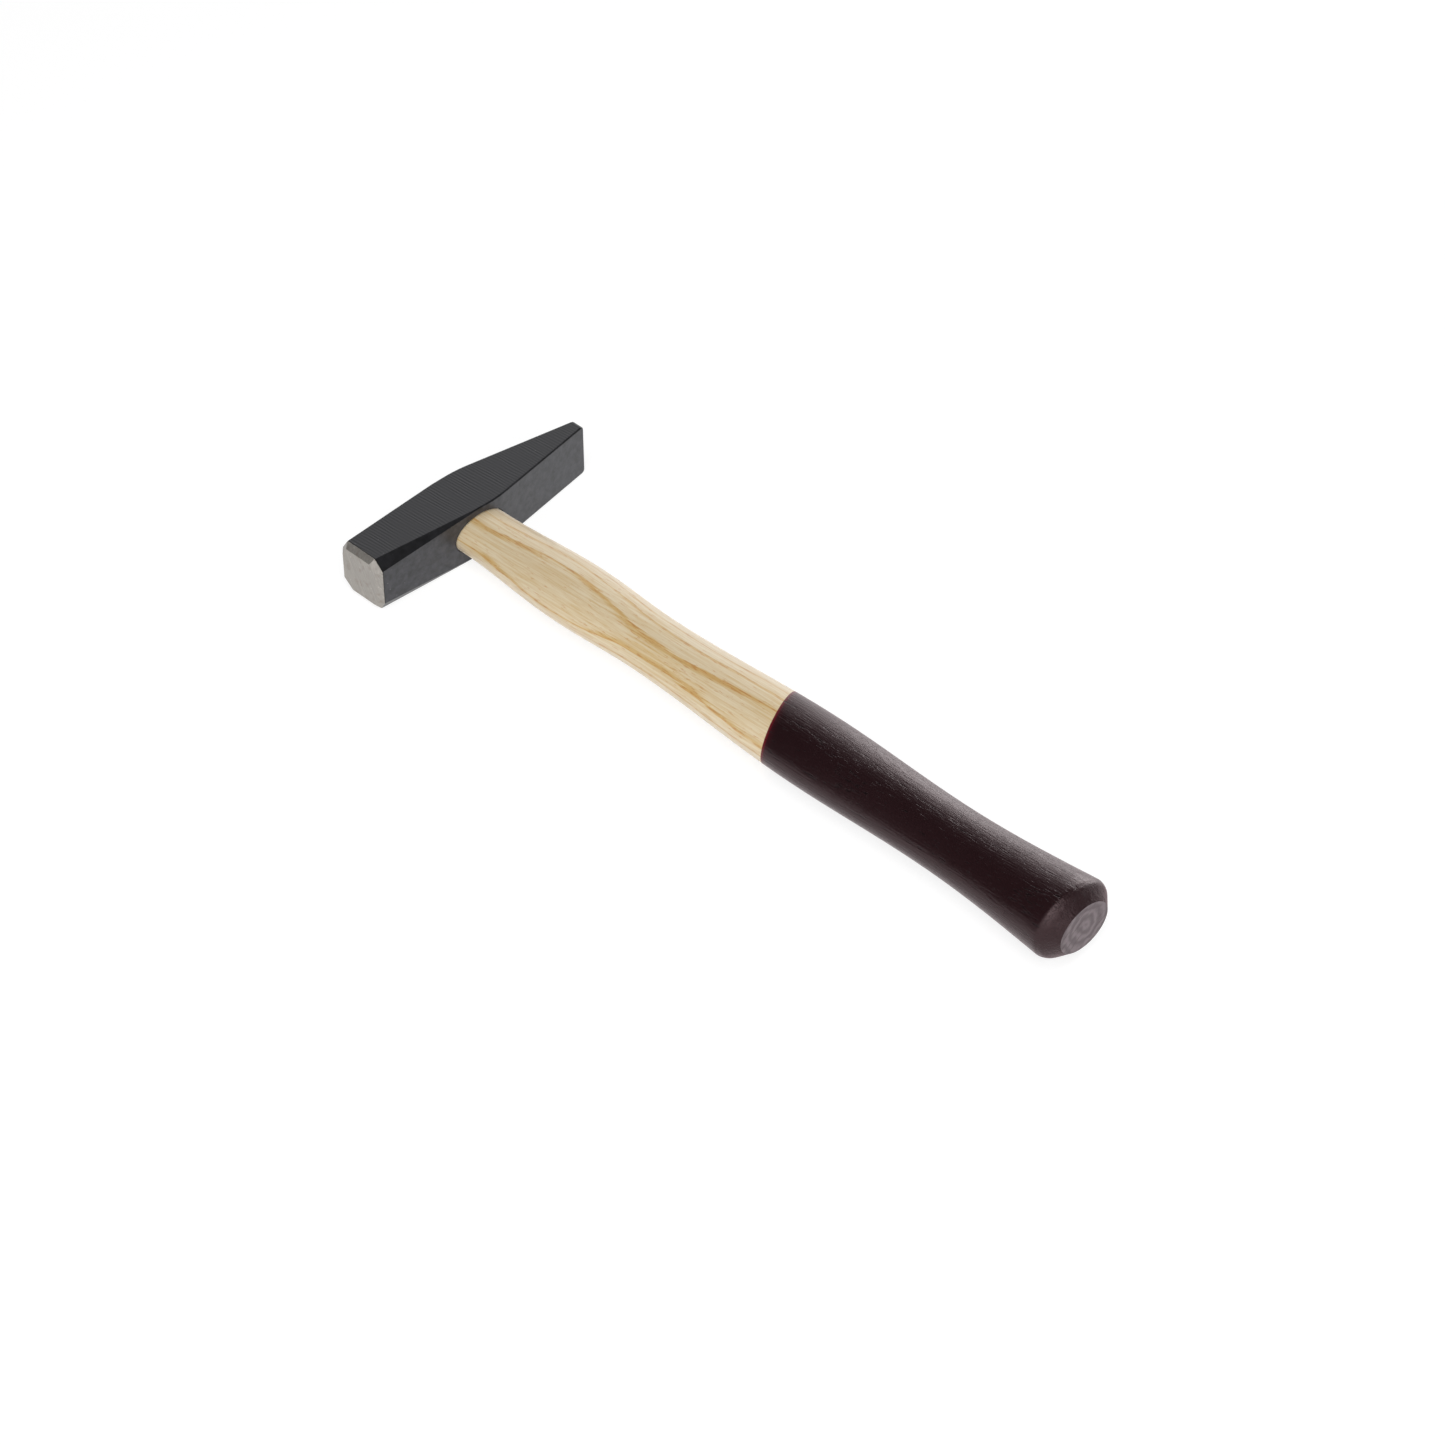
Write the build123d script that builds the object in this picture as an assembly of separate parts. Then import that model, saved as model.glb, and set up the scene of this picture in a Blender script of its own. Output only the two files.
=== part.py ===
from build123d import *
from math import cos, pi
import os

# Cross peen hammer, 200 g: a forged steel head on an oval ash handle, double wedged.
# Millimetres. +X points from the striking face to the peen, the handle runs along -Y,
# +Z is up. The origin is on the lower cheek, straight below the centre of the eye.

hammer_length = 280.0  # end grain at the top of the eye to the butt

# Head, along X
head_length = 95.8  # striking face to the edge of the peen, 95 by name
face_to_eye = 42.9  # striking face to the centre of the eye
eye_to_bend = 7.5  # centre of the eye to the start of the peen's taper

# Head, along Y and Z
face_width = 19.0  # across the striking face, before its bevel
bend_width = 20.6  # the widest place, where the peen's taper starts
peen_thickness = 4.5  # at the edge of the peen
head_thickness = 19.0  # cheek to cheek

# Head, edges
bend_radius = 50.0  # blends the flats into the peen's taper
facet_across = 3.6  # corner facet above on the handle's side, how far it cuts in from the side
facet_up = 3.5  # and how far it cuts in from the cheek
far_facet_across = 2.7  # the steeper one above on the far side
far_facet_up = 4.0
low_facet_across = 5.0  # the broad one below on the far side
low_facet_up = 4.0
light_facet_across = 1.7  # the one that is ground least, below on the handle's side
light_facet_up = 2.9
facet_past_eye = 3.0  # where the corner facets run out, past the centre of the eye
face_bevel = 1.7
edge_round = 0.6
peen_corner_round = 1.5

# Eye, an oval hole that is tightest halfway
eye_waist_width = 18.0
eye_waist_thickness = 11.4
eye_mouth_width = 21.0
eye_mouth_thickness = 13.6
eye_lip = 0.5  # broken edge round both mouths

# Handle, the length of each stretch. The one from the throat to the palm takes what is left.
neck_to_belly = 45.7
belly_to_throat = 34.0
palm_to_hollow = 51.0
hollow_to_flare = 52.5
butt_bevel_length = 4.8

# Handle, its width (X) and thickness (Z) where the stretches meet
belly_width = 25.0
belly_thickness = 16.6
throat_width = 22.4
throat_thickness = 15.2
palm_width = 27.3
palm_thickness = 19.6
hollow_width = 24.6
hollow_thickness = 18.4
flare_width = 31.0
flare_thickness = 24.2
butt_width = 20.4
butt_thickness = 16.0
flare_round = 4.0  # softens the edge between the flare and the butt's bevel
oval_spacing = 6.0  # about how far apart the ovals are that shape the shaft

# Fits
seat_gap = 0.02  # wood against steel in the eye's waist and at its top
neck_gap = 0.2  # open ring round the handle where it enters the head
wedge_gap = 0.02  # round both wedges
handle_proud = 0.3  # end grain standing out of the top of the eye

# Wooden wedge, flat, driven across the thickness of the eye
wedge_depth = 15.0
wedge_top_thickness = 3.0
wedge_tip_thickness = 0.8

# Ring wedge, a steel tube whose wall thins to a cutting rim
ring_depth = 10.0
ring_top_diameter = 8.6
ring_tip_diameter = 8.0
ring_top_wall = 0.9
ring_tip_wall = 0.3

# Places worked out from the sizes above
middle = head_thickness / 2
face_x = -face_to_eye
peen_x = head_length - face_to_eye
half_face = face_width / 2
half_bend = bend_width / 2
eye_mouth = half_bend - eye_lip  # from the centre of the eye to either mouth
handle_top = half_bend + handle_proud
flare_distance = hammer_length - handle_top - butt_bevel_length
palm_distance = flare_distance - hollow_to_flare - palm_to_hollow
throat_distance = half_bend + neck_to_belly + belly_to_throat
overcut = 1.0  # how far the eye's cutter reaches past the metal


def oval(distance, width, thickness):
    """An ellipse across the handle's axis, at a distance from the eye towards the butt."""
    across = Plane(origin=(0, -distance, middle), x_dir=(1, 0, 0), z_dir=(0, -1, 0))
    return across * Ellipse(width / 2, thickness / 2)


def head_blank():
    """The forging: its plan outline with blended bends, cheek to cheek, its edges rounded."""
    half_peen = peen_thickness / 2
    outline = Polyline(
        (face_x, -half_face),
        (eye_to_bend, -half_bend),
        (peen_x, -half_peen),
        (peen_x, half_peen),
        (eye_to_bend, half_bend),
        (face_x, half_face),
        close=True,
    )
    plan = make_face(outline)
    bends = plan.vertices().filter_by_position(Axis.X, eye_to_bend, eye_to_bend)
    blank = extrude(fillet(bends, bend_radius), head_thickness)
    peen_corners = blank.edges().filter_by(Axis.Y).group_by(Axis.X)[-1]
    blank = fillet(peen_corners, peen_corner_round)
    at_face = blank.edges().group_by(Axis.X)[0]
    bend_seams = blank.edges().filter_by(Axis.Z) - at_face - blank.edges().group_by(Axis.X)[-1]
    return fillet(blank.edges() - at_face - bend_seams, edge_round)


def corner_facet(side, cheek, across, up):
    """The plane of one ground corner. side is its sign along Y, cheek is 0 below and 1 above."""
    share = (facet_past_eye - face_x) / (eye_to_bend - face_x)
    half_run_out = half_face + share * (half_bend - half_face)
    z_cheek = cheek * head_thickness
    z_cut = z_cheek + (1 - 2 * cheek) * up
    on_cheek = Vector(face_x, side * (half_face - across), z_cheek)
    on_side = Vector(face_x, side * half_face, z_cut)
    run_out = Vector(facet_past_eye, side * half_run_out, z_cheek)
    outward = (on_side - on_cheek).cross(run_out - on_cheek)
    if outward.Y * side < 0:
        outward = -outward
    return Plane(origin=on_cheek, x_dir=run_out - on_cheek, z_dir=outward)


def swell(share):
    """Ease from one oval to the next, level at both."""
    return (1 - cos(pi * share)) / 2


def splay(share):
    """Ease from the hollow to the flare, level at the hollow and still opening at the flare."""
    return 1 - cos(pi * share / 2)


def stretch(start, end, ease=swell):
    """The ovals from start up to, but not at, end. Each is (distance, width, thickness)."""
    length = end[0] - start[0]
    count = max(3, round(length / oval_spacing))
    ovals = []
    for step in range(count):
        share = step / count
        grown = ease(share)
        width = start[1] + grown * (end[1] - start[1])
        thickness = start[2] + grown * (end[2] - start[2])
        ovals.append(oval(start[0] + share * length, width, thickness))
    return ovals


def eye_cutter():
    """The oval hole: an hourglass, its two mouths broken by a small lip."""
    top = (-eye_mouth, eye_mouth_width, eye_mouth_thickness)
    waist = (0, eye_waist_width, eye_waist_thickness)
    neck = (eye_mouth, eye_mouth_width, eye_mouth_thickness)
    outside = half_bend + overcut
    lip = 2 * (eye_lip + overcut)
    wide = (eye_mouth_width + lip, eye_mouth_thickness + lip)
    ovals = [oval(-outside, *wide)] + stretch(top, waist) + stretch(waist, neck)
    return loft(ovals + [oval(*neck), oval(outside, *wide)], ruled=True)


def make_head():
    """The head: forging, four corner facets that fade out at the eye, face bevel and eye."""
    head = head_blank()
    facets = [
        corner_facet(-1, 1, facet_across, facet_up),
        corner_facet(1, 1, far_facet_across, far_facet_up),
        corner_facet(1, 0, low_facet_across, low_facet_up),
        corner_facet(-1, 0, light_facet_across, light_facet_up),
    ]
    for facet in facets:
        head = split(head, bisect_by=facet, keep=Keep.BOTTOM)
    face_edges = head.faces().sort_by(Axis.X)[0].edges()
    return chamfer(face_edges, face_bevel) - eye_cutter()


def handle_blank():
    """The whole handle before it is wedged: tenon, shaped shaft, flare and bevelled butt."""
    top_width = eye_mouth_width - 2 * seat_gap
    top_thickness = eye_mouth_thickness - 2 * seat_gap
    places = [
        (-eye_mouth, top_width, top_thickness),
        (0, eye_waist_width - 2 * seat_gap, eye_waist_thickness - 2 * seat_gap),
        (eye_mouth, eye_mouth_width - 2 * neck_gap, eye_mouth_thickness - 2 * neck_gap),
        (half_bend + neck_to_belly, belly_width, belly_thickness),
        (throat_distance, throat_width, throat_thickness),
        (palm_distance, palm_width, palm_thickness),
        (palm_distance + palm_to_hollow, hollow_width, hollow_thickness),
    ]
    flare = (flare_distance, flare_width, flare_thickness)
    ovals = [oval(-handle_top, top_width, top_thickness)]
    for start, end in zip(places, places[1:]):
        ovals += stretch(start, end)
    ovals += stretch(places[-1], flare, splay)
    ovals += [oval(*flare), oval(flare_distance + butt_bevel_length, butt_width, butt_thickness)]
    blank = loft(ovals, ruled=True)
    rim = blank.edges().filter_by_position(Axis.Y, -flare_distance - 0.01, -flare_distance + 0.01)
    return fillet(rim, flare_round)


def wedge_taper(gap):
    """The flat wedge as a long taper right across the eye, grown by a gap on every side."""
    half_top = wedge_top_thickness / 2 + gap
    half_tip = wedge_tip_thickness / 2 + gap
    tip_y = handle_top - wedge_depth - gap
    corners = [(handle_top, -half_top), (tip_y, -half_tip), (tip_y, half_tip), (handle_top, half_top)]
    from_side = Plane(origin=(-eye_mouth_width, 0, middle), x_dir=(0, 1, 0), z_dir=(1, 0, 0))
    return extrude(from_side * make_face(Polyline(*corners, close=True)), 2 * eye_mouth_width)


def ring_cone(top_diameter, tip_diameter, gap):
    """One cone of the ring wedge, from the end grain down to its tip, grown by a gap."""
    end_grain = Plane(origin=(0, handle_top, middle), x_dir=(1, 0, 0), z_dir=(0, -1, 0))
    top = Circle(top_diameter / 2 + gap)
    tip = Pos(0, 0, ring_depth) * Circle(tip_diameter / 2 + gap)
    return end_grain * loft([top, tip], ruled=True)


def make_ring(gap=0.0):
    """The ring wedge, or with a gap the seat that it cuts for itself."""
    outside = ring_cone(ring_top_diameter, ring_tip_diameter, gap)
    top_bore = ring_top_diameter - 2 * ring_top_wall
    tip_bore = ring_tip_diameter - 2 * ring_tip_wall
    return outside - ring_cone(top_bore, tip_bore, -gap)


os.makedirs("parts", exist_ok=True)
uncut_handle = handle_blank()
ring_seat = make_ring(wedge_gap)
export_step(make_head(), "parts/hammer_head.step")
export_step(uncut_handle - wedge_taper(wedge_gap) - ring_seat, "parts/handle.step")
export_step((wedge_taper(0.0) & uncut_handle) - ring_seat, "parts/wooden_wedge.step")
export_step(make_ring(), "parts/ring_wedge.step")
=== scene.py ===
# %% [markdown]
# # A cross peen hammer
#
# This lesson dresses a finished CAD model of a small smith's hammer. The model comes with four
# parts: a forged steel head, an ash handle, and the wooden wedge and the steel ring that hold
# the two together. Their sizes are final, so Blender only adds what the eye sees: soft edges,
# paint, bare steel, wood grain and lacquer, and a plain studio to look at them in.
#
# The first cell loads the model. One unit is a metre, the striking face looks along -X, the
# handle runs along -Y, and the hammer lies on its lower cheek near Z = 0.

# %% Load the model
from math import acos, cos, degrees, pi, radians, sin

import bmesh
import bpy
from mathutils import Matrix, Vector


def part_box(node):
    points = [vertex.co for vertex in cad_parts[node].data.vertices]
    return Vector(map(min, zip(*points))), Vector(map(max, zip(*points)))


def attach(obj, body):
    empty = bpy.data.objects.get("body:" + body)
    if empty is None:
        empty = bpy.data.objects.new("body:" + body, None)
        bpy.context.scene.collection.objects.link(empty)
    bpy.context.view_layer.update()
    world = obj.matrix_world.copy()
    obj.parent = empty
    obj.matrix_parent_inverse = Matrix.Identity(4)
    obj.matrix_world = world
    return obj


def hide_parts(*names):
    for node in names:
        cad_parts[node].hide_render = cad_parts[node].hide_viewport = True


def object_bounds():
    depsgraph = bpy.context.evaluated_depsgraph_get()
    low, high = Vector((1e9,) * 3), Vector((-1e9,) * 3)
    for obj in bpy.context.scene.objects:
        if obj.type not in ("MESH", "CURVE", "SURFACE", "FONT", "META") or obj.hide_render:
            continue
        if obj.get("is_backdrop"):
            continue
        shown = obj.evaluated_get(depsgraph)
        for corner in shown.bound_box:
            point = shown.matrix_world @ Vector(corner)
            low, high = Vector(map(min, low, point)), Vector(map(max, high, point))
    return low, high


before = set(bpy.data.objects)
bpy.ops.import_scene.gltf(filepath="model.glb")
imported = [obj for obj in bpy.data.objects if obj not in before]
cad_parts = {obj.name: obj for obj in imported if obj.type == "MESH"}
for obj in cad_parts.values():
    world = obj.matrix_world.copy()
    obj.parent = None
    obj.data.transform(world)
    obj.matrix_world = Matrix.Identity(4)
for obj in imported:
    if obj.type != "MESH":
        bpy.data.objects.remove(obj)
cad_box = [list(corner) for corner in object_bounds()]
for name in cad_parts:
    low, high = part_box(name)
    print(name, "is", [round(1000 * (b - a), 1) for a, b in zip(low, high)], "mm")

# %% [markdown]
# ## Units and colours
#
# Sizes are easiest to think of in millimetres, so `mm` is written beside them. Colours are
# given as sRGB hex codes, but Blender calculates with linear light, so one function
# turns them.

# %% Units and colours
mm = 0.001


def colour(code):
    """An sRGB hex colour as the linear RGBA that shaders want."""
    parts = [int(code[i : i + 2], 16) / 255 for i in (1, 3, 5)]
    linear = [p / 12.92 if p <= 0.04045 else ((p + 0.055) / 1.055) ** 2.4 for p in parts]
    return linear + [1.0]


def grey(value):
    """A neutral linear colour."""
    return (value, value, value, 1.0)


print("#808080 is", round(colour("#808080")[0], 3), "in linear light")

# %% [markdown]
# ## Filling a node's inputs
#
# Materials, the floor and the world are all made of shader nodes. An input takes a value, a
# link from another node's output, or another node, whose first working output is then linked.
# Some inputs of a Math or Mix node share one name, so they go by number: in a Mix of colours,
# 0 is the factor, and 6 and 7 are the two colours. In a Mix of plain numbers, those two are
# 2 and 3.


# %% Filling a node's inputs
def fill(tree, node, sockets):
    """Fills a node's inputs with values, or with links from other nodes."""
    for key, value in sockets.items():
        if isinstance(value, bpy.types.Node):
            value = next(output for output in value.outputs if output.enabled)
        if isinstance(value, bpy.types.NodeSocket):
            tree.links.new(value, node.inputs[key])
        else:
            node.inputs[key].default_value = value


print(fill.__name__, "-", fill.__doc__)

# %% [markdown]
# ## Adding a node
#
# One helper adds a node of any kind: it makes the node's settings, fills its inputs and, where
# the node is a colour ramp, places the ramp's stops.


# %% Adding a node
def add(tree, kind, sockets=None, stops=(), **settings):
    """A new shader node with its settings made, its inputs filled and its stops placed."""
    node = tree.nodes.new("ShaderNode" + kind)
    for key, value in settings.items():
        setattr(node, key, value)
    fill(tree, node, sockets or {})
    for number, (position, value) in enumerate(stops):
        if number == len(node.color_ramp.elements):
            node.color_ramp.elements.new(1.0)
        node.color_ramp.elements[number].position = position
        node.color_ramp.elements[number].color = value
    return node


print(add.__name__, "-", add.__doc__)

# %% [markdown]
# ## The camera
#
# The hammer is seen from in front of its striking face, a little over forty degrees from above,
# through a long lens that hardly narrows what is far. Rather than typing a location, the camera
# is swung round a point on the handle by its azimuth and elevation, as one moves a
# tripod, and then rolled by a hair. The Standard view shows colours as they are written.

# %% Camera
aim = Vector((-10.8, -131.5, 9.5)) * mm
azimuth, elevation, roll = radians(-44.38), radians(41.27), radians(-0.39)
distance = 1309.1 * mm
level_part = cos(elevation)
towards_camera = Vector((sin(azimuth) * level_part, -cos(azimuth) * level_part, sin(elevation)))
camera_data = bpy.data.cameras.new("camera")
camera_data.lens = 106.92
camera_data.sensor_width = 36.0
camera = bpy.data.objects.new("camera", camera_data)
bpy.context.collection.objects.link(camera)
camera.location = aim + distance * towards_camera
turn = (-towards_camera).to_track_quat("-Z", "Y").to_matrix() @ Matrix.Rotation(roll, 3, "Z")
camera.rotation_euler = turn.to_euler()
bpy.context.scene.camera = camera
bpy.context.scene.view_settings.view_transform = "Standard"
print("camera at", [round(c, 3) for c in camera.location])

# %% [markdown]
# ## The floor
#
# The butt of the handle is fatter than the head is thick, so the real hammer lies slightly
# tipped: it touches the bench with the far edge of its cheek and with the lowest point of the
# butt. The model stays level here, so the floor is laid through those two places instead.

# %% Floor
lowest = min((v.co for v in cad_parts["handle"].data.vertices), key=lambda co: co.z)
far_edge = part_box("hammer_head")[1].y
slope = -lowest.z / (far_edge - lowest.y)
half_floor = 3.0
gap_under = 0.05 * mm
signs = [(-1, -1), (1, -1), (1, 1), (-1, 1)]
corners = [(half_floor * x, half_floor * y) for x, y in signs]
places = [(x, y, slope * (y - far_edge) - gap_under) for x, y in corners]
floor_mesh = bpy.data.meshes.new("floor")
floor_mesh.from_pydata(places, [], [(0, 1, 2, 3)])
floor = bpy.data.objects.new("floor", floor_mesh)
bpy.context.collection.objects.link(floor)
floor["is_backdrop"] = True
print("the floor slopes", round(1000 * slope, 1), "mm in a metre")

# %% [markdown]
# ## The floor's glow
#
# The floor is a pale, matt sheet of paper. Rays from the camera and from shiny surfaces also see
# a little glow in it, which keeps the sheet white around the object, while the shadow under it
# stays. The lamps' pool of light ends about a metre from the hammer. To the camera alone, the
# glow rises from there on, so that from a low tripod the sheet fades into the white behind it.

# %% Glow of the paper
paper = bpy.data.materials.new("white background paper")
paper.use_nodes = True
tree = paper.node_tree
tree.nodes.clear()
path = add(tree, "LightPath").outputs
seen = {0: path["Is Camera Ray"], 1: path["Is Glossy Ray"]}
seen = add(tree, "Math", seen, operation="MAXIMUM")
seen = add(tree, "Math", {0: seen, 1: path["Is Transmission Ray"]}, operation="MAXIMUM")
from_hammer = {0: add(tree, "TexCoord").outputs["Object"]}
from_hammer = add(tree, "VectorMath", from_hammer, operation="LENGTH")
far = add(tree, "MapRange", {"Value": from_hammer, "From Min": 0.6, "From Max": 1.6})
far = add(tree, "Math", {0: far, 1: path["Is Camera Ray"]}, operation="MULTIPLY")
near_glow, glow_rise = 0.82, 0.20
strength = {0: far, 1: glow_rise, 2: near_glow}
strength = add(tree, "Math", strength, operation="MULTIPLY_ADD")
glow = add(tree, "Emission", {"Color": grey(1.0), "Strength": strength})
print("the paper glows at", near_glow, "near the hammer and", near_glow + glow_rise, "far away")

# %% [markdown]
# ## The floor's paper
#
# Where the glow is seen, the paper adds a dimmer matt shade to it, which takes the shadow. To
# every other ray it is plain matt paper, so the light that it throws back on the hammer is
# only that of paper.

# %% White paper
matt = add(tree, "BsdfDiffuse", {"Color": colour("#f2f2f2")})
shade = add(tree, "BsdfDiffuse", {"Color": grey(0.28)})
lit = add(tree, "AddShader", {0: shade, 1: glow})
sheet = add(tree, "MixShader", {0: seen, 1: matt, 2: lit})
add(tree, "OutputMaterial", {"Surface": sheet})
floor_mesh.materials.append(paper)
print("the paper has", len(tree.nodes), "nodes")

# %% [markdown]
# ## The room
#
# Small tools are usually shown on a white sheet that curves up behind them. Satin paint and
# lacquer hardly have a colour of their own: what makes their planes differ is what each of
# them mirrors. The side of the head mirrors the white sheet in front of it, the far edge of
# the handle mirrors the sheet where it rises behind, and the ground corners mirror the dark
# room. So the world is dim, with one bright patch low behind the hammer.

# %% World
world = bpy.data.worlds.new("studio")
world.use_nodes = True
bpy.context.scene.world = world
tree = world.node_tree
tree.nodes.clear()
direction = add(tree, "TexCoord").outputs["Generated"]
rising_sheet = Vector((0.80, 0.56, 0.16)).normalized()
nearness = add(tree, "VectorMath", {0: direction, 1: rising_sheet}, operation="DOT_PRODUCT")
edges = {"Value": nearness, "From Min": 0.70, "From Max": 0.95, "To Min": 0.06, "To Max": 0.90}
room = add(tree, "MapRange", edges, interpolation_type="SMOOTHSTEP")
camera_ray = add(tree, "LightPath").outputs["Is Camera Ray"]
backdrop = add(tree, "Mix", {0: camera_ray, 2: room, 3: 1.0}, data_type="FLOAT")
background = add(tree, "Background", {"Color": grey(1.0), "Strength": backdrop})
add(tree, "OutputWorld", {"Surface": background})
print("the bright patch looks", [round(c, 2) for c in rising_sheet])

# %% [markdown]
# ## Lamps
#
# Four soft boxes stand round the hammer, where the middle of the handle can't mirror them.
# Their power follows from distance: a lamp of pi squared times distance squared watts gives a
# level of one, at which a colour renders as it is written. The levels of all four, each seen
# at its slant, add up to a little under that, and the room gives the rest.


# %% Lamps
def soft_box(name, heading, size, level):
    """A square lamp 1.5 m away in that heading, which lights the hammer at that level."""
    lamp = bpy.data.lights.new(name, "AREA")
    lamp.size = size
    reach = 1.5 * Vector(heading).normalized()
    lamp.energy = level * pi**2 * reach.length_squared
    box = bpy.data.objects.new(name, lamp)
    box.location = aim + reach
    box.rotation_euler = (-reach).to_track_quat("-Z", "Y").to_euler()
    bpy.context.collection.objects.link(box)
    print(name, "uses", round(lamp.energy, 1), "W")


soft_box("front box", (-0.35, -0.75, 0.56), 0.9, 0.38)
soft_box("top box", (-0.35, -0.25, 0.90), 0.9, 0.40)
soft_box("left box", (-0.90, -0.20, 0.35), 1.6, 0.36)
soft_box("right box", (0.95, 0.20, 0.25), 0.9, 0.45)

# %% [markdown]
# ## Copies that may be reshaped
#
# The CAD meshes themselves stay as they are. A piece that needs a softer or a divided shape is
# a copy, which stands for its CAD node and rides on the same body. CAD meshes come as loose
# faces, so the copy is welded along its seams, where points lie within a thousandth of a
# millimetre.


# %% Welded copies
weld_gap = 0.001 * mm


def welded_copy(node_name, piece_name):
    """A new piece with the CAD node's shape, closed along its seams, and its bmesh."""
    mesh = bpy.data.meshes.new(piece_name)
    shape = bmesh.new()
    shape.from_mesh(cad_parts[node_name].data)
    bmesh.ops.remove_doubles(shape, verts=shape.verts, dist=weld_gap)
    piece = bpy.data.objects.new(piece_name, mesh)
    bpy.context.collection.objects.link(piece)
    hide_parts(node_name)
    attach(piece, "root")
    print(piece_name, "has", len(shape.verts), "points")
    return piece, shape


print(welded_copy.__name__, "-", welded_copy.__doc__)

# %% [markdown]
# ## Smooth shading
#
# CAD meshes also come with normals of their own, which no longer fit a reshaped copy. Once its
# shape is done, those normals are dropped and it is shaded smooth.


# %% Smooth shading
def finish_shape(piece, shape):
    """Writes the bmesh into the piece and shades it smooth."""
    shape.to_mesh(piece.data)
    shape.free()
    if "custom_normal" in piece.data.attributes:
        piece.data.attributes.remove(piece.data.attributes["custom_normal"])
    for face in piece.data.polygons:
        face.use_smooth = True


print(finish_shape.__name__, "-", finish_shape.__doc__)

# %% [markdown]
# ## Soft edges on the head
#
# The CAD head is exact, but its ground facets meet in mathematically sharp lines. Real edges
# are always a little round, and it is that thin round that catches the light. A bevel would
# tear on loose triangles, so flat ones are first joined into whole faces. The bevel modifier
# then rounds every hard edge by its weight: 0.4 mm round the striking face, which grinding and
# use have worn, and 0.16 mm under the paint. Last, weighted normals keep the big faces flat,
# so that only the narrow rounds shade from one to the next.

# %% Head with softened edges
face_x, peen_x = [corner.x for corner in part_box("hammer_head")]
bevel_length = 1.7 * mm
head, shape = welded_copy("hammer_head", "forged_head")
flat = radians(0.4)
bmesh.ops.dissolve_limit(shape, angle_limit=flat, verts=shape.verts, edges=shape.edges)
roundness = shape.edges.layers.float.new("bevel_weight_edge")
hard = [e for e in shape.edges if e.is_manifold and e.calc_face_angle() > radians(24)]
for edge in hard:
    worn = min(v.co.x for v in edge.verts) < face_x + 0.1 * mm
    edge[roundness] = 1.0 if worn else 0.4
finish_shape(head, shape)
rounds = head.modifiers.new("rounded edges", "BEVEL")
rounds.limit_method = "WEIGHT"
rounds.width = 0.4 * mm
rounds.segments = 3
head.modifiers.new("flat faces", "WEIGHTED_NORMAL")
print("rounded", len(hard), "edges of the head")

# %% [markdown]
# ## The handle, cut where the finish changes
#
# The CAD handle is a loft of short rings, each a straight strip. Welded into one skin and
# shaded smooth, the strips disappear and only the swell and the hollow are left.
#
# The handle has four finishes: clear lacquer on the shaft, a dark dip on the grip, the turned
# end of the butt and the sawn end in the eye. Each gets its own material, which is simpler than
# one material with masks. The ends are faces of their own already. The dip ends in a slanting
# line, because the handle was held at a slant, so the skin is cut there by a plane.

# %% Handle, with its dip's edge cut in
dip_direction = Vector((0.394, -1.0, -0.068)).normalized()
dip_distance = 134.3 * mm
handle, shape = welded_copy("handle", "ash_handle")
bmesh.ops.join_triangles(
    shape,
    faces=shape.faces,
    angle_face_threshold=radians(2),
    angle_shape_threshold=radians(180),
)
bmesh.ops.bisect_plane(
    shape,
    geom=shape.verts[:] + shape.edges[:] + shape.faces[:],
    dist=weld_gap,
    plane_co=dip_direction * dip_distance,
    plane_no=dip_direction,
)
print("the dip starts", round(1000 * dip_distance, 1), "mm from the eye")

# %% [markdown]
# ## The handle's four finishes, by number
#
# Every face now lies wholly on one side of the dip's line, so its middle tells which finish it
# has. A face keeps that as a number, and the number picks the material later on.

# %% Finish numbers of the handle's faces
clear, dipped, butt_end, tenon_end = range(4)
butt_y, tenon_y = [corner.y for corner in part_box("handle")]
for face in shape.faces:
    middle = face.calc_center_median()
    face.material_index = dipped if middle.dot(dip_direction) > dip_distance else clear
    if middle.y < butt_y + 0.01 * mm:
        face.material_index = butt_end
    if middle.y > tenon_y - 0.01 * mm:
        face.material_index = tenon_end
finish_shape(handle, shape)
handle.data.set_sharp_from_angle(angle=radians(28))
print("the handle has", len(handle.data.polygons), "faces")

# %% [markdown]
# ## An empty material
#
# Every finish below is one material with one Principled shader, which stands for any opaque
# surface: it mixes a coloured body with a gloss on top, or mirrors as a metal does.


# %% An empty material
def start_material(name):
    """An empty material with a Principled shader: returns the material, tree and shader."""
    material = bpy.data.materials.new(name)
    material.use_nodes = True
    tree = material.node_tree
    tree.nodes.clear()
    shader = add(tree, "BsdfPrincipled")
    add(tree, "OutputMaterial", {"Surface": shader})
    return material, tree, shader


print(start_material.__name__, "-", start_material.__doc__)

# %% [markdown]
# ## Patterns with real sizes
#
# The place on the object is taken in millimetres. Patches of noise are then given by how many
# go to a millimetre along each axis. A small number along one axis stretches them into streaks
# that way.


# %% Patterns with real sizes
def place_in_mm(tree):
    """The place on the object in millimetres, as a vector."""
    in_metres = add(tree, "TexCoord").outputs["Object"]
    return add(tree, "VectorMath", {0: in_metres, "Scale": 1000.0}, operation="SCALE")


def patches(tree, place, per_mm, detail=2.0, roughness=0.5):
    """Noise around 0.5 with that many patches to a millimetre along X, Y and Z."""
    squeezed = add(tree, "VectorMath", {0: place, 1: per_mm}, operation="MULTIPLY")
    look = {"Vector": squeezed, "Scale": 1.0, "Detail": detail, "Roughness": roughness}
    return add(tree, "TexNoise", look)


print(patches.__name__, "-", patches.__doc__)

# %% [markdown]
# ## Putting a finish on
#
# A finished material goes into the slots of the piece that it is for.


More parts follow.
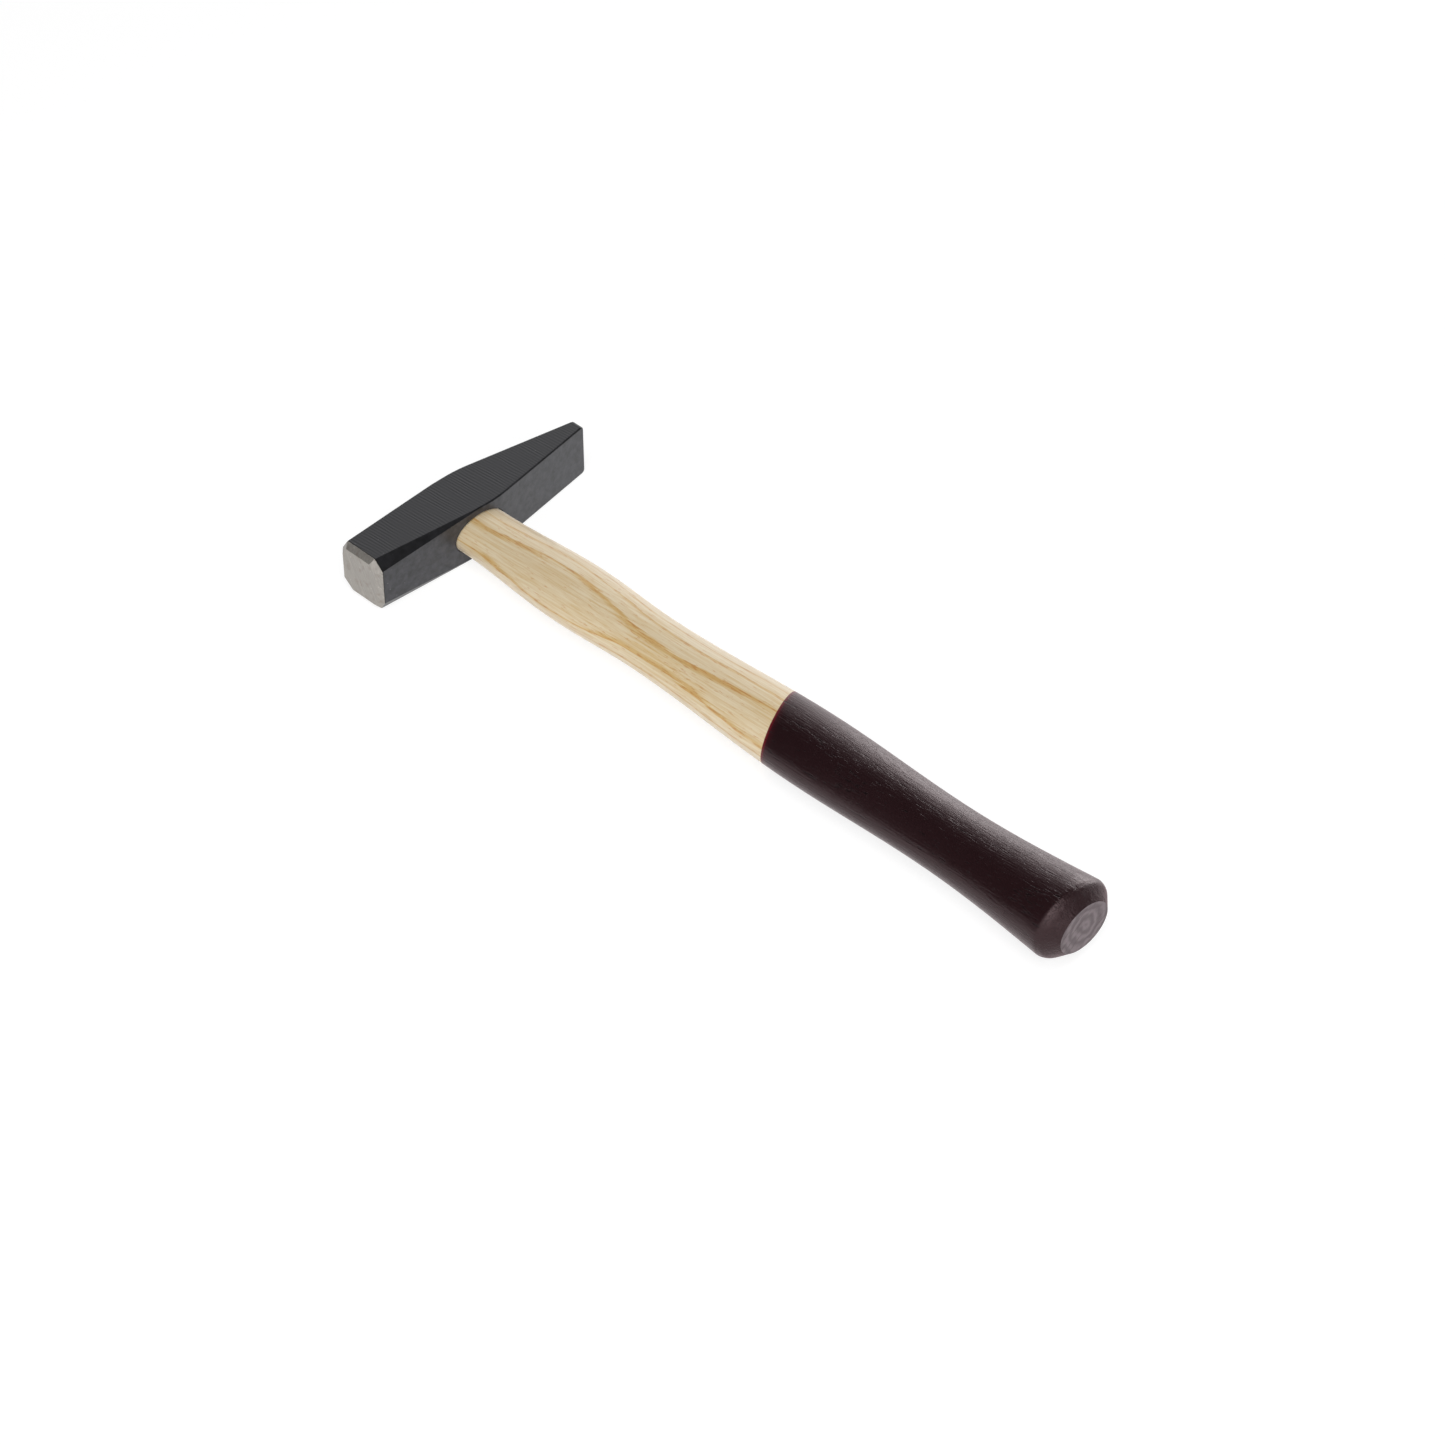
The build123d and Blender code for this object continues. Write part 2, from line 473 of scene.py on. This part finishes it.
# %% Putting a finish on
def wear(piece, *materials):
    """The piece wears these materials, in the order of its faces' numbers."""
    slots = piece.data.materials
    while len(slots) < len(materials):
        slots.append(None)
    for number, material in enumerate(materials):
        slots[number] = material
        print(piece.name, "wears", material.name, "from", len(material.node_tree.nodes), "nodes")


print(wear.__name__, "-", wear.__doc__)

# %% [markdown]
# ## The head: where the paint ends
#
# The head is drop forged, its cheeks are planed, and it is sprayed with a thin satin black
# paint. After that the striking face and its bevel are ground bare again. It is one piece of
# steel, so it is one material, in which a mask along X picks bare metal in front of the bevel's
# edge. The grinding leaves that edge a little ragged, and the paint stands up along it in a
# thin, darker rim.

# %% Bare steel mask
steel_paint, tree, shader = start_material("satin black paint on forged steel, face ground bare")
place = place_in_mm(tree)
along_head = add(tree, "SeparateXYZ", {0: place}).outputs["X"]
paint_ends = 1000 * (face_x + bevel_length)
raggedness = patches(tree, place, (1.3, 1.3, 1.3), 3.0)
edge = {0: raggedness, 1: -0.35, 2: along_head}
edge = add(tree, "Math", edge, operation="MULTIPLY_ADD")
bare = {"Value": edge, "From Min": paint_ends - 0.03, "From Max": paint_ends - 0.15}
bare = add(tree, "MapRange", bare)
rim = {"Value": edge, "From Min": paint_ends + 0.40, "From Max": paint_ends + 0.10}
rim = add(tree, "MapRange", rim)
print("the paint ends", round(paint_ends, 1), "mm along X")

# %% [markdown]
# ## The head: cheeks and sides
#
# The cheeks were planed, while the sides are as the forging die left them. The same paint is
# given a different colour on each kind of plane, as painted light and shade for what that plane
# mirrors. The height of the normal tells them apart: it is near one on both cheeks, near zero
# on the sides, and in between on the four ground corners.

# %% Masks for the cheeks and the sides
normal = add(tree, "NewGeometry").outputs["Normal"]
normal_z = add(tree, "SeparateXYZ", {0: normal}).outputs["Z"]
flatness = add(tree, "Math", {0: normal_z}, operation="ABSOLUTE")
cheek_flatness, side_flatness = 0.90, 0.35
cheek = {"Value": flatness, "From Min": cheek_flatness, "From Max": 0.99}
cheek = add(tree, "MapRange", cheek)
side = {"Value": flatness, "From Min": side_flatness, "From Max": 0.15}
side = add(tree, "MapRange", side)
print("a cheek tilts by less than", round(degrees(acos(cheek_flatness))), "degrees")
print("a side by more than", round(degrees(acos(side_flatness))), "degrees")

# %% [markdown]
# ## The head: planing marks
#
# Both cheeks carry the marks of the plane: shallow parallel grooves about a millimetre apart,
# nearly square to the head, still to be seen under the paint. A sine of the distance across
# them gives regular grooves. Two things keep them from looking drawn: slow noise makes them
# sway by a fraction of a millimetre, and more noise lets them fade here and there.

# %% Planing marks on the cheeks
groove_pitch, askew = 1.15, radians(4.9)
across_grooves = (cos(askew), sin(askew), 0.0)
along = add(tree, "VectorMath", {0: place, 1: across_grooves}, operation="DOT_PRODUCT")
sway = patches(tree, place, (0.12, 0.05, 0.12))
along = add(tree, "Math", {0: sway, 1: 2.0, 2: along}, operation="MULTIPLY_ADD")
turns = add(tree, "Math", {0: along, 1: 2 * pi / groove_pitch}, operation="MULTIPLY")
wave = add(tree, "Math", {0: turns}, operation="SINE")
worn_patches = patches(tree, place, (0.45, 0.12, 0.45), 3.0, 0.6)
depth = {"Value": worn_patches, "From Min": 0.35, "From Max": 0.65, "To Min": 0.15}
depth = add(tree, "MapRange", depth)
depth = add(tree, "Math", {0: depth, 1: cheek}, operation="MULTIPLY")
grooves = add(tree, "Math", {0: wave, 1: depth}, operation="MULTIPLY")
head_length = 1000 * (peen_x - face_x)
print("about", round(head_length / groove_pitch), "grooves cross each cheek")

# %% [markdown]
# ## The head: black paint
#
# The paint is near black on the ground corners, which is painted shade for the dark room that
# they mirror. The cheeks get a lighter grey as painted light, and the crests between their
# grooves are a touch paler than the valleys: partly paint worn thin over them and partly
# painted shading of the grooves. The sides get the palest grey, painted light for the white
# sheet that they mirror, in faint, paler clouds a few millimetres across.

# %% Paint colour
clouds = patches(tree, place, (0.40, 0.40, 0.40), 5.0, 0.6)
clouds = add(tree, "MapRange", {"Value": clouds, "From Min": 0.35, "From Max": 0.65})
# Painted shade and light: the corners get a near-black copy of the paint, the sides a paler one.
corner_black_painted_shade = ((0.0, colour("#141416")), (1.0, colour("#212124")))
corner_black_painted_shade = add(tree, "ValToRGB", {"Fac": clouds}, corner_black_painted_shade)
side_black_painted_light = ((0.0, colour("#27272b")), (1.0, colour("#414147")))
side_black_painted_light = add(tree, "ValToRGB", {"Fac": clouds}, side_black_painted_light)
# Painted light on the cheeks; the paler crests are partly worn paint, partly painted groove
# shading.
crests_and_painted_groove_shade = add(tree, "MapRange", {"Value": grooves, "From Min": -1.0})
cheek_black_wear_and_painted_light = ((0.0, colour("#2f2f32")), (1.0, colour("#3d3d40")))
cheek_black_wear_and_painted_light = add(tree, "ValToRGB", {"Fac": crests_and_painted_groove_shade}, cheek_black_wear_and_painted_light)
# The sides take their painted-light copy, the cheeks theirs; the corners keep the painted-shade
# one.
paint = add(tree, "Mix", {0: side, 6: corner_black_painted_shade, 7: side_black_painted_light}, data_type="RGBA")
paint = add(tree, "Mix", {0: cheek, 6: paint, 7: cheek_black_wear_and_painted_light}, data_type="RGBA")
print("the paint takes", len(tree.nodes), "nodes so far")

# %% [markdown]
# ## The head: chips
#
# Near the striking face, where the hammer misses, a few chips of about a millimetre let the
# grey primer show. They are the highest spots of a noise, and a little is added to it towards
# the face, so that more of them pass the threshold there.

# %% Chips and the paint's rim
chip_zone = 12.0
near_face = {"Value": along_head, "From Min": paint_ends + chip_zone, "To Max": 0.10}
near_face = add(tree, "MapRange", near_face | {"From Max": paint_ends + 1.0})
chips = add(tree, "Math", {0: patches(tree, place, (0.9, 0.9, 0.9), 1.0), 1: near_face})
chips = {"Value": chips, "From Min": 0.80, "From Max": 0.84, "To Max": 0.8}
chips = add(tree, "MapRange", chips)
paint = add(tree, "Mix", {0: chips, 6: paint, 7: colour("#6e6e72")}, data_type="RGBA")
paint = add(tree, "Mix", {0: rim, 6: paint, 7: colour("#0b0b0c")}, data_type="RGBA")
print("chips gather within", chip_zone, "mm of the paint's edge")

# %% [markdown]
# ## The head: ground steel
#
# The face was ground on a fine belt, which leaves hair-fine straight scratches, here 0.3 mm
# wide so that they show. Use adds a few bright dents and a breath of brown oxide. Carbon steel
# is a metal of a warm mid grey. Most of what it shows is what it mirrors, blurred by the
# scratches.

# %% Bare steel colour
scratch_lean = 24
leaning = {"Vector": place, "Rotation": (radians(scratch_lean), 0.0, 0.0)}
leaning = add(tree, "Mapping", leaning)
scratches = patches(tree, leaning, (1.0, 3.0, 0.12), 3.0, 0.6)
greys = ((0.30, colour("#9c9893")), (0.55, colour("#aaa59f")), (0.75, colour("#b9b4ae")))
steel = add(tree, "ValToRGB", {"Fac": scratches}, greys)
oxide = {"Value": patches(tree, place, (0.5, 0.5, 0.5), 3.0), "From Min": 0.52, "From Max": 0.72}
oxide = add(tree, "MapRange", oxide | {"To Max": 0.45})
steel = add(tree, "Mix", {0: oxide, 6: steel, 7: colour("#8a7c70")}, data_type="RGBA")
pecked = add(tree, "TexVoronoi", {"Vector": place, "Scale": 0.35})
dents = {"Value": pecked, "From Min": 0.10, "From Max": 0.06, "To Max": 0.6}
dents = add(tree, "MapRange", dents)
steel = add(tree, "Mix", {0: dents, 6: steel, 7: colour("#d9d5cf")}, data_type="RGBA")
print("the grinding scratches lean", scratch_lean, "degrees from upright")

# %% [markdown]
# ## The head: gloss
#
# Satin paint has an IOR of 1.5 and a roughness of about 0.3, which varies with its clouds. The
# ground steel is rougher, and the grease and dust in its scratches scatter some light, so its
# metallic is 0.7 and not 1. The renderer's noise filter takes anything smoother than 0.27 for
# a mirror and wipes out its fine relief, so both the paint and the dip stay just above that.

# %% Colour and gloss of the head
skin = add(tree, "Mix", {0: bare, 6: paint, 7: steel}, data_type="RGBA")
satin = add(tree, "MapRange", {"Value": clouds, "To Min": 0.29, "To Max": 0.33})
ground_roughness, ground_metallic = 0.46, 0.7
rough = add(tree, "Mix", {0: bare, 2: satin, 3: ground_roughness}, data_type="FLOAT")
metallic = add(tree, "Math", {0: bare, 1: ground_metallic}, operation="MULTIPLY")
fill(tree, shader, {"Base Color": skin, "Metallic": metallic, "Roughness": rough, "IOR": 1.5})
print("the ground face has a roughness of", ground_roughness)

# %% [markdown]
# ## The head: relief
#
# The grooves are 0.02 mm deep and the grit under the paint 0.01 mm, with two grains to a
# millimetre. The dents are deeper, but few. Such small heights are left to bump, as no outline
# shows them.

# %% Relief of the head
grit = patches(tree, place, (2.0, 2.0, 2.0), 3.0, 0.6)
bump = add(tree, "Bump", {"Height": grooves, "Distance": 0.018 * mm, "Strength": 1.0})
bump = {"Height": grit, "Distance": 0.010 * mm, "Strength": 1.0, "Normal": bump}
bump = add(tree, "Bump", bump)
in_steel = add(tree, "Math", {0: dents, 1: bare}, operation="MULTIPLY")
bump = {"Height": in_steel, "Distance": -0.03 * mm, "Strength": 1.0, "Normal": bump}
bump = add(tree, "Bump", bump)
fill(tree, shader, {"Normal": bump})
wear(head, steel_paint)

# %% [markdown]
# ## Ash: growth rings
#
# Ash is ring-porous. Each spring the tree lays down a band of wide open pores, which shows as a
# golden brown line, and then denser, paler wood until autumn. A handle is split from a big
# tree, so its centre lies outside the wood: here it is below the handle and to one side. Where
# the surface lies flat against the rings they spread out, and towards the sides they close up
# to fine parallel lines, just by cutting one set of cylinders.
#
# So the pattern is the distance from the tree's centre line, divided by the width of a ring.
# The line leans a little against the handle, and slow noise, stretched along the trunk, makes
# the rings sway. A finer noise, stretched like the fibres, frays their edges into flames. As
# it is a solid pattern, the end grain comes out right by itself.

# %% The tree that the handle came from
ring_width = 2.2
first_year = 0.4
tree_centre = (24.0, 0.0, -40.0)
tree_lean = (radians(-1.6), 0.0, radians(0.4))
ring_sway, fray = 2.0, 1.1


def along_the_trunk(tree):
    """The place in millimetres from the tree's centre line, which is Y."""
    place = {"Vector": place_in_mm(tree), "Location": tree_centre, "Rotation": tree_lean}
    return add(tree, "Mapping", place, vector_type="TEXTURE")


belly_width = 25.0
print("about", round(belly_width / ring_width), "rings cross the handle")

# %% [markdown]
# ## Ash: spring and autumn
#
# The whole part of the number of rings is the year, and the rest is the season. Spring sets in
# within a tenth of a ring and has faded out after a third.


# %% Growth rings
spring_share = 0.36


def growth_rings(tree, trunk):
    """How far into spring's band each point is, from 1 to 0, and which year it is."""
    across = add(tree, "VectorMath", {0: trunk, 1: (1.0, 0.0, 1.0)}, operation="MULTIPLY")
    radius = add(tree, "VectorMath", {0: across}, operation="LENGTH")
    slow = patches(tree, trunk, (0.05, 0.008, 0.05))
    fine = patches(tree, trunk, (1.1, 0.035, 1.1), 3.0, 0.6)
    radius = add(tree, "Math", {0: slow, 1: ring_sway, 2: radius}, operation="MULTIPLY_ADD")
    radius = add(tree, "Math", {0: fine, 1: fray, 2: radius}, operation="MULTIPLY_ADD")
    years = {0: radius, 1: 1 / ring_width, 2: first_year}
    years = add(tree, "Math", years, operation="MULTIPLY_ADD")
    season = add(tree, "Math", {0: years}, operation="FRACT")
    onset = add(tree, "MapRange", {"Value": season, "From Max": 0.10})
    fading = {"Value": season, "From Min": spring_share, "From Max": 0.05}
    fading = add(tree, "MapRange", fading, interpolation_type="SMOOTHSTEP")
    spring = add(tree, "Math", {0: onset, 1: fading}, operation="MULTIPLY")
    return spring, add(tree, "Math", {0: years}, operation="FLOOR")


print("spring's band is up to", round(spring_share * ring_width, 1), "mm wide")

# %% [markdown]
# ## Ash: fibres and pores
#
# Fibres run along the trunk and tint the wood in long, hardly visible streaks. The pores are
# little tubes of about 0.2 mm, cut open lengthwise into dashes a few millimetres long. They are
# drawn about half a millimetre wide, as coarse as they need to be to show, and crowd in the
# spring wood.


# %% Fibres and pores
pores_per_mm = (2.2, 0.30, 2.2)


def fibre_streaks(tree, trunk):
    """Long streaks, about two to a millimetre."""
    return patches(tree, trunk, (1.8, 0.05, 1.8), 4.0, 0.6)


def open_pores(tree, trunk, spring):
    """1 in a pore and 0 beside it."""
    dashes = patches(tree, trunk, pores_per_mm)
    crowd = add(tree, "Math", {0: spring, 1: 0.14, 2: dashes}, operation="MULTIPLY_ADD")
    crowd = {"Value": crowd, "From Min": 0.62, "From Max": 0.72}
    return add(tree, "MapRange", crowd, interpolation_type="SMOOTHSTEP")


print("pores lie in a noise with patches of", [round(1 / n, 1) for n in pores_per_mm], "mm")

# %% [markdown]
# ## Clear ash: how bold each ring is
#
# The spring band is golden and fades into cream. Some years it is bold and some it can hardly
# be seen, so each year gets its own strength, and it comes and goes along the handle too.

# %% Rings of the clear ash
clear_ash, tree, shader = start_material("ash under clear satin lacquer")
trunk = along_the_trunk(tree)
spring, year = growth_rings(tree, trunk)
luck = add(tree, "TexWhiteNoise", {"W": year}, noise_dimensions="1D")
come_and_go = patches(tree, trunk, (0.25, 0.02, 0.25))
come_and_go = add(tree, "Math", {0: come_and_go, 1: 0.15}, operation="SUBTRACT")
strength = add(tree, "Math", {0: luck, 1: 0.8, 2: come_and_go}, operation="MULTIPLY_ADD")
banding = {0: spring, 1: strength}
banding = add(tree, "Math", banding, operation="MULTIPLY", use_clamp=True)
print("the rings take", len(tree.nodes), "nodes")

# %% [markdown]
# ## Clear ash: colour
#
# The ramp runs from cream over honey to a golden brown. The fibres and the pores are laid over
# it by multiplying, as thin shadows would be.

# %% Colour of the clear ash
cream_to_gold = (
    (0.00, colour("#ead9b9")),
    (0.30, colour("#e1c795")),
    (0.65, colour("#dab475")),
    (1.00, colour("#d2a35c")),
)
timber = add(tree, "ValToRGB", {"Fac": banding}, cream_to_gold)
fibres = fibre_streaks(tree, trunk)
tint = add(tree, "MapRange", {"Value": fibres, "From Min": 0.38, "From Max": 0.66})
tint = {0: tint, 6: timber, 7: colour("#f0e2c6")}
timber = add(tree, "Mix", tint, data_type="RGBA", blend_type="MULTIPLY")
pores = open_pores(tree, trunk, spring)
tint = add(tree, "Math", {0: pores, 1: 0.5}, operation="MULTIPLY")
tint = {0: tint, 6: timber, 7: colour("#e2ae68")}
timber = add(tree, "Mix", tint, data_type="RGBA", blend_type="MULTIPLY")
print(len(cream_to_gold), "colours lie between cream and gold")

# %% [markdown]
# ## Clear ash: gloss and relief
#
# The lacquer is a satin coat with an IOR of 1.5 over wood that it has soaked into. It has
# filled most of the pores, so they are hardly felt. Seen edge on, its matting powder scatters
# some light too, which sheen gives: it is what makes the outline of such a handle look pale.

# %% Gloss and relief of the clear ash
grain = add(tree, "Math", {0: fibres, 1: 0.3}, operation="MULTIPLY")
relief = add(tree, "Math", {0: pores, 1: -0.25, 2: grain}, operation="MULTIPLY_ADD")
bump = add(tree, "Bump", {"Height": relief, "Distance": 0.06 * mm, "Strength": 1.0})
fill(tree, shader, {"Base Color": timber, "Normal": bump, "Roughness": 0.40, "IOR": 1.5})
fill(tree, shader, {"Coat Weight": 0.6, "Coat Roughness": 0.14, "Coat IOR": 1.5})
fill(tree, shader, {"Sheen Weight": 1.0, "Sheen Roughness": 0.42})
fill(tree, shader, {"Sheen Tint": colour("#fff3e2")})
print("the lacquer's coat has a roughness of", shader.inputs["Coat Roughness"].default_value)

# %% [markdown]
# ## The dip: colour
#
# The grip was dipped butt first into a dark red-brown lacquer. It is nearly opaque, and only
# along its thin edge does the red come through, so the colour follows the distance from the
# dip's line. The pores of the ash are almost black: partly lacquer pooled in them, and partly
# painted shade in the hollows.

# %% Colour of the dip
dark_dip, tree, shader = start_material("dark red-brown dipping lacquer over ash")
place = place_in_mm(tree)
trunk = along_the_trunk(tree)
ahead = add(tree, "VectorMath", {0: place, 1: dip_direction}, operation="DOT_PRODUCT")
edge_mm = 1000 * dip_distance
thin_edge = 3.0
thickness = {"Value": ahead, "From Min": edge_mm, "From Max": edge_mm + thin_edge}
thickness = add(tree, "MapRange", thickness, interpolation_type="SMOOTHSTEP")
reds = ((0.00, colour("#6a1420")), (0.25, colour("#300d13")), (1.00, colour("#1e0c0f")))
lacquer = add(tree, "ValToRGB", {"Fac": thickness}, reds)
spring, year = growth_rings(tree, trunk)
pores = open_pores(tree, trunk, spring)
# Painted shade: the pores are near black, partly from pooled lacquer and partly as shade in the
# hollows.
lacquer = add(tree, "Mix", {0: pores, 6: lacquer, 7: colour("#0e0406")}, data_type="RGBA")
print("the dip is thin over its first", thin_edge, "mm")

# %% [markdown]
# ## The dip: gloss
#
# Dipping leaves an even satin film, with a roughness just under 0.3. It is rougher on the bevel
# of the butt, where the turning tore the end grain. The red-brown of the film tints its gloss a
# little, and its edge-on haze more.

# %% Gloss of the dip
film = patches(tree, place, (0.35, 0.20, 0.35), 3.0)
gloss = {"Value": film, "From Min": 0.35, "From Max": 0.65, "To Min": 0.28, "To Max": 0.30}
gloss = add(tree, "MapRange", gloss)
along_handle = add(tree, "SeparateXYZ", {0: place}).outputs["Y"]
butt_bevel_mm = 4.8
bevel_starts = 1000 * butt_y + butt_bevel_mm
turned = {"Value": along_handle, "From Min": bevel_starts, "From Max": bevel_starts - 1.5}
turned = add(tree, "MapRange", turned)
gloss = add(tree, "Math", {0: turned, 1: 0.18, 2: gloss}, operation="MULTIPLY_ADD")
fill(tree, shader, {"Base Color": lacquer, "Roughness": gloss, "IOR": 1.5})
fill(tree, shader, {"Specular Tint": colour("#ffe0e4"), "Sheen Tint": colour("#c07f8c")})
fill(tree, shader, {"Sheen Weight": 0.25, "Sheen Roughness": 0.35})
print("the torn bevel starts", round(bevel_starts, 1), "mm along Y")

# %% [markdown]
# ## The dip: relief
#
# The film is too thin to level the open grain of the ash. Its strokes are about 8 mm long, half
# a millimetre wide and a few hundredths deep, and their slopes break up every highlight. The
# pores are sunk a little deeper, and the film itself is uneven too, in waves of about 3 mm. On
# the bevel the torn grain is three times as rough.

# %% Relief of the dip
open_grain = patches(tree, trunk, (2.0, 0.12, 2.0), 3.0, 0.6)
relief = add(tree, "Math", {0: pores, 1: -0.3, 2: open_grain}, operation="MULTIPLY_ADD")
bump = add(tree, "Bump", {"Height": relief, "Distance": 0.13 * mm, "Strength": 1.0})
bump = {"Height": film, "Distance": 0.03 * mm, "Strength": 1.0, "Normal": bump}
bump = add(tree, "Bump", bump)
torn = patches(tree, place, (0.7, 0.7, 0.7), 4.0, 0.6)
torn = add(tree, "Math", {0: torn, 1: turned}, operation="MULTIPLY")
bump = {"Height": torn, "Distance": 0.35 * mm, "Strength": 1.0, "Normal": bump}
bump = add(tree, "Bump", bump)
fill(tree, shader, {"Normal": bump})
print("the dip has", len(tree.nodes), "nodes")

# %% [markdown]
# ## The butt's turned end: lathe marks
#
# The flat of the butt was faced on the lathe, so it carries faint rings 3.4 mm apart round the
# centre that it was turned on. A cosine of the distance from there gives them, and noise bends
# them out of true by a millimetre or so, as they are more scuffed than cut.

# %% Lathe marks on the butt
turned_end, tree, shader = start_material("dipped ash end grain, turned and scuffed")
place = place_in_mm(tree)
lathe_centre, lathe_pitch = (0.5, 0.0, 10.5), 3.4
offset = add(tree, "VectorMath", {0: place, 1: lathe_centre}, operation="SUBTRACT")
offset = add(tree, "VectorMath", {0: offset, 1: (1.0, 0.0, 1.0)}, operation="MULTIPLY")
radius = add(tree, "VectorMath", {0: offset}, operation="LENGTH")
uneven = patches(tree, place, (0.3, 0.3, 0.3), 3.0)
radius = add(tree, "Math", {0: uneven, 1: 4.5, 2: radius}, operation="MULTIPLY_ADD")
turns = add(tree, "Math", {0: radius, 1: 2 * pi / lathe_pitch}, operation="MULTIPLY")
marks = add(tree, "Math", {0: turns}, operation="COSINE")
marks = add(tree, "MapRange", {"Value": marks, "From Min": -1.0})
print("the lathe marks lie", lathe_pitch, "mm apart")

# %% [markdown]
# ## The butt's turned end: colour
#
# End grain drinks lacquer, more in some places than in others. Where it does, the spring bands
# show through as dark slanting streaks. The rest is scuffed to a greyish mauve, and matt.

# %% Colour of the butt's end
mauves = ((0.0, colour("#64575b")), (0.5, colour("#75686c")), (1.0, colour("#827579")))
mauve = add(tree, "ValToRGB", {"Fac": marks}, mauves)
spring, year = growth_rings(tree, along_the_trunk(tree))
soaked = patches(tree, place, (0.25, 0.25, 0.25), 3.0)
soaked = {"Value": soaked, "From Min": 0.40, "From Max": 0.62, "To Max": 0.9}
soaked = add(tree, "MapRange", soaked)
streaks = add(tree, "Math", {0: spring, 1: soaked}, operation="MULTIPLY")
mauve = add(tree, "Mix", {0: streaks, 6: mauve, 7: colour("#4d3c3d")}, data_type="RGBA")
bump = add(tree, "Bump", {"Height": marks, "Distance": 0.05 * mm, "Strength": 1.0})
fill(tree, shader, {"Base Color": mauve, "Normal": bump, "Roughness": 0.55, "IOR": 1.5})
print("the butt's end has", len(tree.nodes), "nodes")

# %% [markdown]
# ## The tenon's sawn end
#
# The other end of the handle stands a hair out of the eye. It is bare end grain: the same rings,
# now cut square, browner than the shaft because end grain is full of open tubes.

# %% Sawn end in the eye
sawn_end, tree, shader = start_material("ash, bare sawn end grain")
trunk = along_the_trunk(tree)
spring, year = growth_rings(tree, trunk)
browns = ((0.0, colour("#cdb48a")), (1.0, colour("#a8814f")))
timber = add(tree, "ValToRGB", {"Fac": spring}, browns)
tubes = patches(tree, trunk, (3.2, 0.2, 3.2))
tubes = add(tree, "MapRange", {"Value": tubes, "From Min": 0.50, "From Max": 0.66})
dark = add(tree, "Math", {0: tubes, 1: 0.5}, operation="MULTIPLY")
timber = add(tree, "Mix", {0: dark, 6: timber, 7: colour("#7d5a34")}, data_type="RGBA")
bump = add(tree, "Bump", {"Height": tubes, "Distance": -0.06 * mm, "Strength": 1.0})
fill(tree, shader, {"Base Color": timber, "Normal": bump, "Roughness": 0.65, "IOR": 1.5})
wear(handle, clear_ash, dark_dip, turned_end, sawn_end)

# %% [markdown]
# ## The wooden wedge
#
# A flat wedge of beech was driven into the slot of the tenon, so that the ash fills the eye.
# Only its sawn end shows: pinkish tan, with no rings to speak of but with many short dark
# flecks, which are the cut rays. They are 0.2 mm wide on real beech and 0.3 mm here. The CAD
# part has the right shape, so it only gets this material.

# %% Beech
beech, tree, shader = start_material("beech, sawn end grain")
place = place_in_mm(tree)
cells = patches(tree, place, (1.2, 0.2, 0.8), 3.0)
tans = ((0.35, colour("#b98d66")), (0.65, colour("#d0a982")))
tan = add(tree, "ValToRGB", {"Fac": cells}, tans)
rays = {"Value": patches(tree, place, (3.0, 0.3, 0.7), 1.0), "From Min": 0.60, "From Max": 0.68}
rays = add(tree, "MapRange", rays | {"To Max": 0.55})
tan = add(tree, "Mix", {0: rays, 6: tan, 7: colour("#8a5a3a")}, data_type="RGBA")
bump = add(tree, "Bump", {"Height": cells, "Distance": 0.08 * mm, "Strength": 1.0})
fill(tree, shader, {"Base Color": tan, "Normal": bump, "Roughness": 0.62, "IOR": 1.5})
wear(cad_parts["wooden_wedge"], beech)

# %% [markdown]
# ## The ring wedge: colour
#
# The ring is a turned steel cone that was driven in over the wooden wedge. It is bare, so it
# has dulled to a darker grey than the ground face, and its rim carries the flat marks of the
# hammer that drove it. They are patches about 2 mm across, brighter and smoother than the
# steel around them.

# %% Turned steel, struck
turned_steel, tree, shader = start_material("turned steel, dulled and struck")
place = place_in_mm(tree)
blows_per_mm = 0.5
blows = patches(tree, place, (blows_per_mm,) * 3, 1.0)
blows = add(tree, "MapRange", {"Value": blows, "From Min": 0.46, "From Max": 0.56})
dulled = patches(tree, place, (1.5, 1.5, 1.5), 4.0, 0.6)
dull_greys = ((0.35, colour("#6d6862")), (0.65, colour("#8a857e")))
dulled = add(tree, "ValToRGB", {"Fac": dulled}, dull_greys)
dulled = add(tree, "Mix", {0: blows, 6: dulled, 7: colour("#a7a29b")}, data_type="RGBA")
rough = add(tree, "MapRange", {"Value": blows, "To Min": 0.48, "To Max": 0.32})
fill(tree, shader, {"Base Color": dulled, "Metallic": 1.0, "Roughness": rough})
print("the struck patches are about", 1 / blows_per_mm, "mm across")

# %% [markdown]
# ## The ring wedge: relief
#
# Turning left fine rings round the cone, four to a millimetre and 0.01 mm deep, and each blow
# flattened its patch by 0.05 mm.

# %% Relief of the ring
turning = patches(tree, place, (0.2, 4.0, 0.2), 1.0)
bump = add(tree, "Bump", {"Height": turning, "Distance": 0.01 * mm, "Strength": 1.0})
bump = {"Height": blows, "Distance": -0.05 * mm, "Strength": 1.0, "Normal": bump}
bump = add(tree, "Bump", bump)
fill(tree, shader, {"Normal": bump})
wear(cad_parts["ring_wedge"], turned_steel)

# %% [markdown] ## Finish  The dressed hammer should fill the same box as the CAD model:
# softening an edge only takes metal away inside it.

# %% Finish
visual_box = [list(corner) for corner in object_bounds()]
for title, box in (("CAD", cad_box), ("dressed", visual_box)):
    print("box,", title, [[round(1000 * c, 2) for c in corner] for corner in box])
